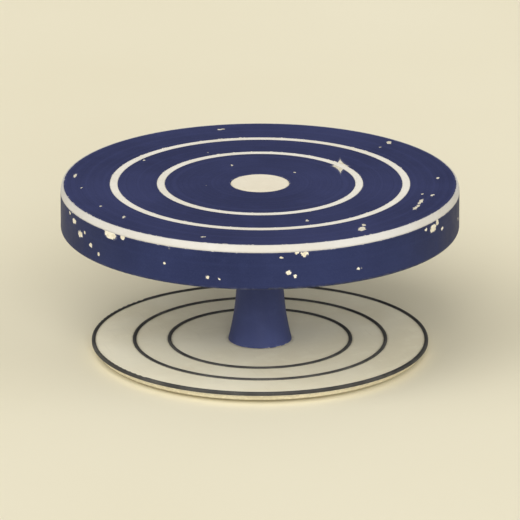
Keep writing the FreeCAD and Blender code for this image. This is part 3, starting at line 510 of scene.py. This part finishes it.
# ------------------------------------------------------------------ materials of the CAD nodes
top_chips = []
for x, y, half_long, half_wide, direction in TOP_CHIPS:
    a = math.radians(direction)
    top_chips.append(
        (
            (x, y, TOP_Z),
            (
                (math.cos(a) / half_long, math.sin(a) / half_long, 0.0),
                (-math.sin(a) / half_wide, math.cos(a) / half_wide, 0.0),
            ),
        )
    )
star_glint_mark = ((STAR_GLINT_MARK[0], STAR_GLINT_MARK[1], TOP_Z), STAR_GLINT_MARK[2], STAR_GLINT_MARK[3])
side_chips = []
for angle, below, half_wide, half_high in SIDE_CHIPS:
    a = math.radians(angle)
    side_chips.append(
        (
            (HEAD_R * math.cos(a), HEAD_R * math.sin(a), TOP_Z - below),
            (
                (-math.sin(a) / half_wide, math.cos(a) / half_wide, 0.0),
                (math.cos(a) / 0.006, math.sin(a) / 0.006, 0.0),
                (0.0, 0.0, 1.0 / half_high),
            ),
        )
    )

head_edges = [
    (PLATE_R, TOP_Z, 0.0018),
    (CAP_R, TOP_Z, 0.0014),
    (INNER_RING[0], TOP_Z, 0.0011),
    (INNER_RING[1], TOP_Z, 0.0011),
    (OUTER_RING[0], TOP_Z, 0.0011),
    (OUTER_RING[1], TOP_Z, 0.0011),
]
head_mat = navy_enamel(
    "navy_enamel_head", NAVY_TOP, top_chips, head_edges,
    cast=0.5, turned=1.0, speck=0.9, rough=0.68, star=star_glint_mark, face=TOP_Z - 0.0008,
)
# the rim's side takes the darker navy: painted shade on the same enamel as the top
rim_mat = navy_enamel(
    "navy_enamel_rim", NAVY_SIDE_SHADED, side_chips,
    [(HEAD_R, RIM_LOW, 0.0030), (RIM_IN, RIM_LOW, 0.0026), (HEAD_R, RIM_HIGH, 0.0012)],
    cast=0.18, turned=0.6, speck=1.0, rough=0.5, turned_axis="z",
)
pedestal_mat = navy_enamel(
    "navy_enamel_pedestal", NAVY_STAND, [],
    [(FOOT_R, BASE_TOP, 0.0026)], cast=0.6, turned=0.0, speck=0.5, rough=0.5,
)


# darkening at the edges where a pale ring meets the navy: partly grime, partly painted shade in the join
def ring_grime_and_shade(low, high):
    return [(low, TOP_Z, 0.0008), (high, TOP_Z, 0.0008)]


# band: its pale is painted darker than the rings' as painted shade, and it darkens at both edges, partly grime and
# partly painted shade in the joins
band_mat = pale_enamel(
    "pale_enamel_band", BAND_PALE_SHADED, srgb(120, 118, 120),
    [(HEAD_R, RIM_HIGH, 0.0011), (PLATE_R, TOP_Z, 0.0007)], turned="z", scratches=0.0,
)
inner_mat = pale_enamel("pale_enamel_inner_ring", PALE, srgb(120, 116, 112), ring_grime_and_shade(*INNER_RING), turned="r")
outer_mat = pale_enamel("pale_enamel_outer_ring", PALE, srgb(120, 116, 112), ring_grime_and_shade(*OUTER_RING), turned="r")
# cap: darkens at its edge against the navy, partly grime and partly painted shade
cap_mat = pale_enamel("cream_enamel_cap", srgb(234, 226, 206), srgb(136, 126, 108), [(CAP_R, TOP_Z, 0.0018)], turned="r")
BASE_R = ring_radii("base_plate")[1]
# darkening on the base plate: at the pedestal foot and along the beads, partly grime and partly painted shade in the
# joins; on the outer edge face and the bottom edge, painted shade
plate_grime_and_shade = [
    (FOOT_R, BASE_TOP, 0.0032),
    (BASE_R - 0.003, BASE_LOW, 0.0040),
    (BASE_R, BASE_LOW + 0.0035, 0.0048),
]
for bead_in, bead_out in BEADS:
    plate_grime_and_shade += [(bead_in, BASE_TOP, 0.0016), (bead_out, BASE_TOP, 0.0016)]
plate_mat = pale_enamel("cream_enamel_base", CREAM, srgb(150, 138, 112), plate_grime_and_shade, rough=0.55, dark_specks=0.3, peel=0.7, scratches=0.1)
cord_mat = rubber("dark_cord_rubber", CORD, dust=0.18, grain=1100.0, rough=0.7)
rubber_mat = rubber("black_rubber", srgb(40, 40, 42), dust=0.3)
seal_mat = rubber("seal_rubber", srgb(46, 40, 38), dust=0.1, rough=0.6)
spindle_mat = steel("turned_steel", srgb(182, 181, 180), 0.3, lines="both", line_scale=2200.0, stain=0.3)
race_mat = steel("ground_bearing_steel", srgb(200, 202, 206), 0.16, lines="both", line_scale=4200.0, stain=0.12, strength=0.25)
ball_mat = steel("polished_ball_steel", srgb(212, 214, 218), 0.07, lines="both", line_scale=5200.0, stain=0.08, strength=0.08)
spring_mat = steel("spring_steel", srgb(120, 124, 134), 0.34, lines="r", line_scale=1800.0, stain=0.35, blotch=srgb(70, 66, 84))
screw_mat = black_oxide("black_screw_steel")
cage_mat = cage_nylon("cage_nylon")

LOOKS = {
    "wheelhead": head_mat,
    "inertia_rim": rim_mat,
    "rim_band": band_mat,
    "inner_centring_ring": inner_mat,
    "outer_centring_ring": outer_mat,
    "hub_cap": cap_mat,
    "hub_cap_seal": seal_mat,
    "hub_screws": screw_mat,
    "rim_screws": screw_mat,
    "spindle": spindle_mat,
    "v_ring_seal": seal_mat,
    "spindle_circlip": spring_mat,
    "bearing_circlip": spring_mat,
    "upper_bearing_inner_race": race_mat,
    "upper_bearing_outer_race": race_mat,
    "upper_bearing_seals": seal_mat,
    "upper_bearing_balls": ball_mat,
    "upper_bearing_cage": cage_mat,
    "lower_bearing_inner_race": race_mat,
    "lower_bearing_outer_race": race_mat,
    "lower_bearing_seals": seal_mat,
    "lower_bearing_balls": ball_mat,
    "lower_bearing_cage": cage_mat,
    "preload_wave_washer": spring_mat,
    "pedestal": pedestal_mat,
    "base_plate": plate_mat,
    "base_bead_inner": cord_mat,
    "base_bead_middle": cord_mat,
    "base_edge_bead": cord_mat,
    "pedestal_screws": screw_mat,
    "rubber_feet": rubber_mat,
    "foot_screws": screw_mat,
}
for node, obj in NODES.items():
    obj.material_slots[0].material = LOOKS[node]


# ------------------------------------------------------------------ floor
def floor_material():
    m = Mat("pale_floor")
    tone = m.noise(1.6, 3.0, 0.5)
    color = m.mix(m.step(tone, 0.3, 0.7), srgb(229, 221, 194), srgb(232, 225, 200))
    return m.finish(color, 0.85, m.bump(m.noise(240.0, 3.0), 0.0002, 0.25), specular=0.2)


SIZE = 9.0
mesh = bpy.data.meshes.new("floor")
mesh.from_pydata([(-SIZE, -SIZE, 0), (SIZE, -SIZE, 0), (SIZE, SIZE, 0), (-SIZE, SIZE, 0)], [], [(0, 1, 2, 3)])
floor = bpy.data.objects.new("floor", mesh)
floor.data.materials.append(floor_material())
bpy.context.scene.collection.objects.link(floor)

# ------------------------------------------------------------------ light
world = bpy.data.worlds.new("studio")
world.use_nodes = True
background = world.node_tree.nodes["Background"]
background.inputs["Color"].default_value = (0.95, 0.925, 0.875, 1.0)
background.inputs["Strength"].default_value = 0.28
bpy.context.scene.world = world


def soft_sun(name, azimuth, elevation, strength, spread, color=(1.0, 1.0, 1.0)):
    """A broad, distant studio light. Azimuth 0 comes from the front, positive from the right."""
    data = bpy.data.lights.new(name, "SUN")
    data.energy, data.angle, data.color = strength, math.radians(spread), color
    light = bpy.data.objects.new(name, data)
    a, e = math.radians(azimuth), math.radians(elevation)
    toward = Vector((math.sin(a) * math.cos(e), -math.cos(a) * math.cos(e), math.sin(e)))
    light.location = toward * 2.0
    light.rotation_mode = "QUATERNION"
    light.rotation_quaternion = (-toward).to_track_quat("-Z", "Y")
    bpy.context.scene.collection.objects.link(light)
    return light


soft_sun("key", -34, 54, 1.05, 50, (1.0, 0.985, 0.965))
soft_sun("front_low", 4, 27, 1.98, 34, (1.0, 0.995, 0.985))
soft_sun("left_low", -68, 23, 0.90, 50)
soft_sun("right_low", 70, 23, 0.90, 50, (0.98, 0.99, 1.0))

# ------------------------------------------------------------------ camera
ELEVATION = math.radians(18.5)
LENS, SENSOR, WIDTH = 600.0, 36.0, 0.392
distance = WIDTH * LENS / SENSOR
camera_data = bpy.data.cameras.new("camera")
camera_data.lens, camera_data.sensor_width = LENS, SENSOR
camera_data.clip_end = 60.0
camera = bpy.data.objects.new("camera", camera_data)
back = Vector((0.0, -math.cos(ELEVATION), math.sin(ELEVATION)))
camera.location = Vector((0.0, 0.0, 0.0715)) + back * distance
camera.rotation_mode = "QUATERNION"
camera.rotation_quaternion = (-back).to_track_quat("-Z", "Y")
bpy.context.scene.collection.objects.link(camera)
bpy.context.scene.camera = camera
bpy.context.scene.view_settings.view_transform = "Standard"
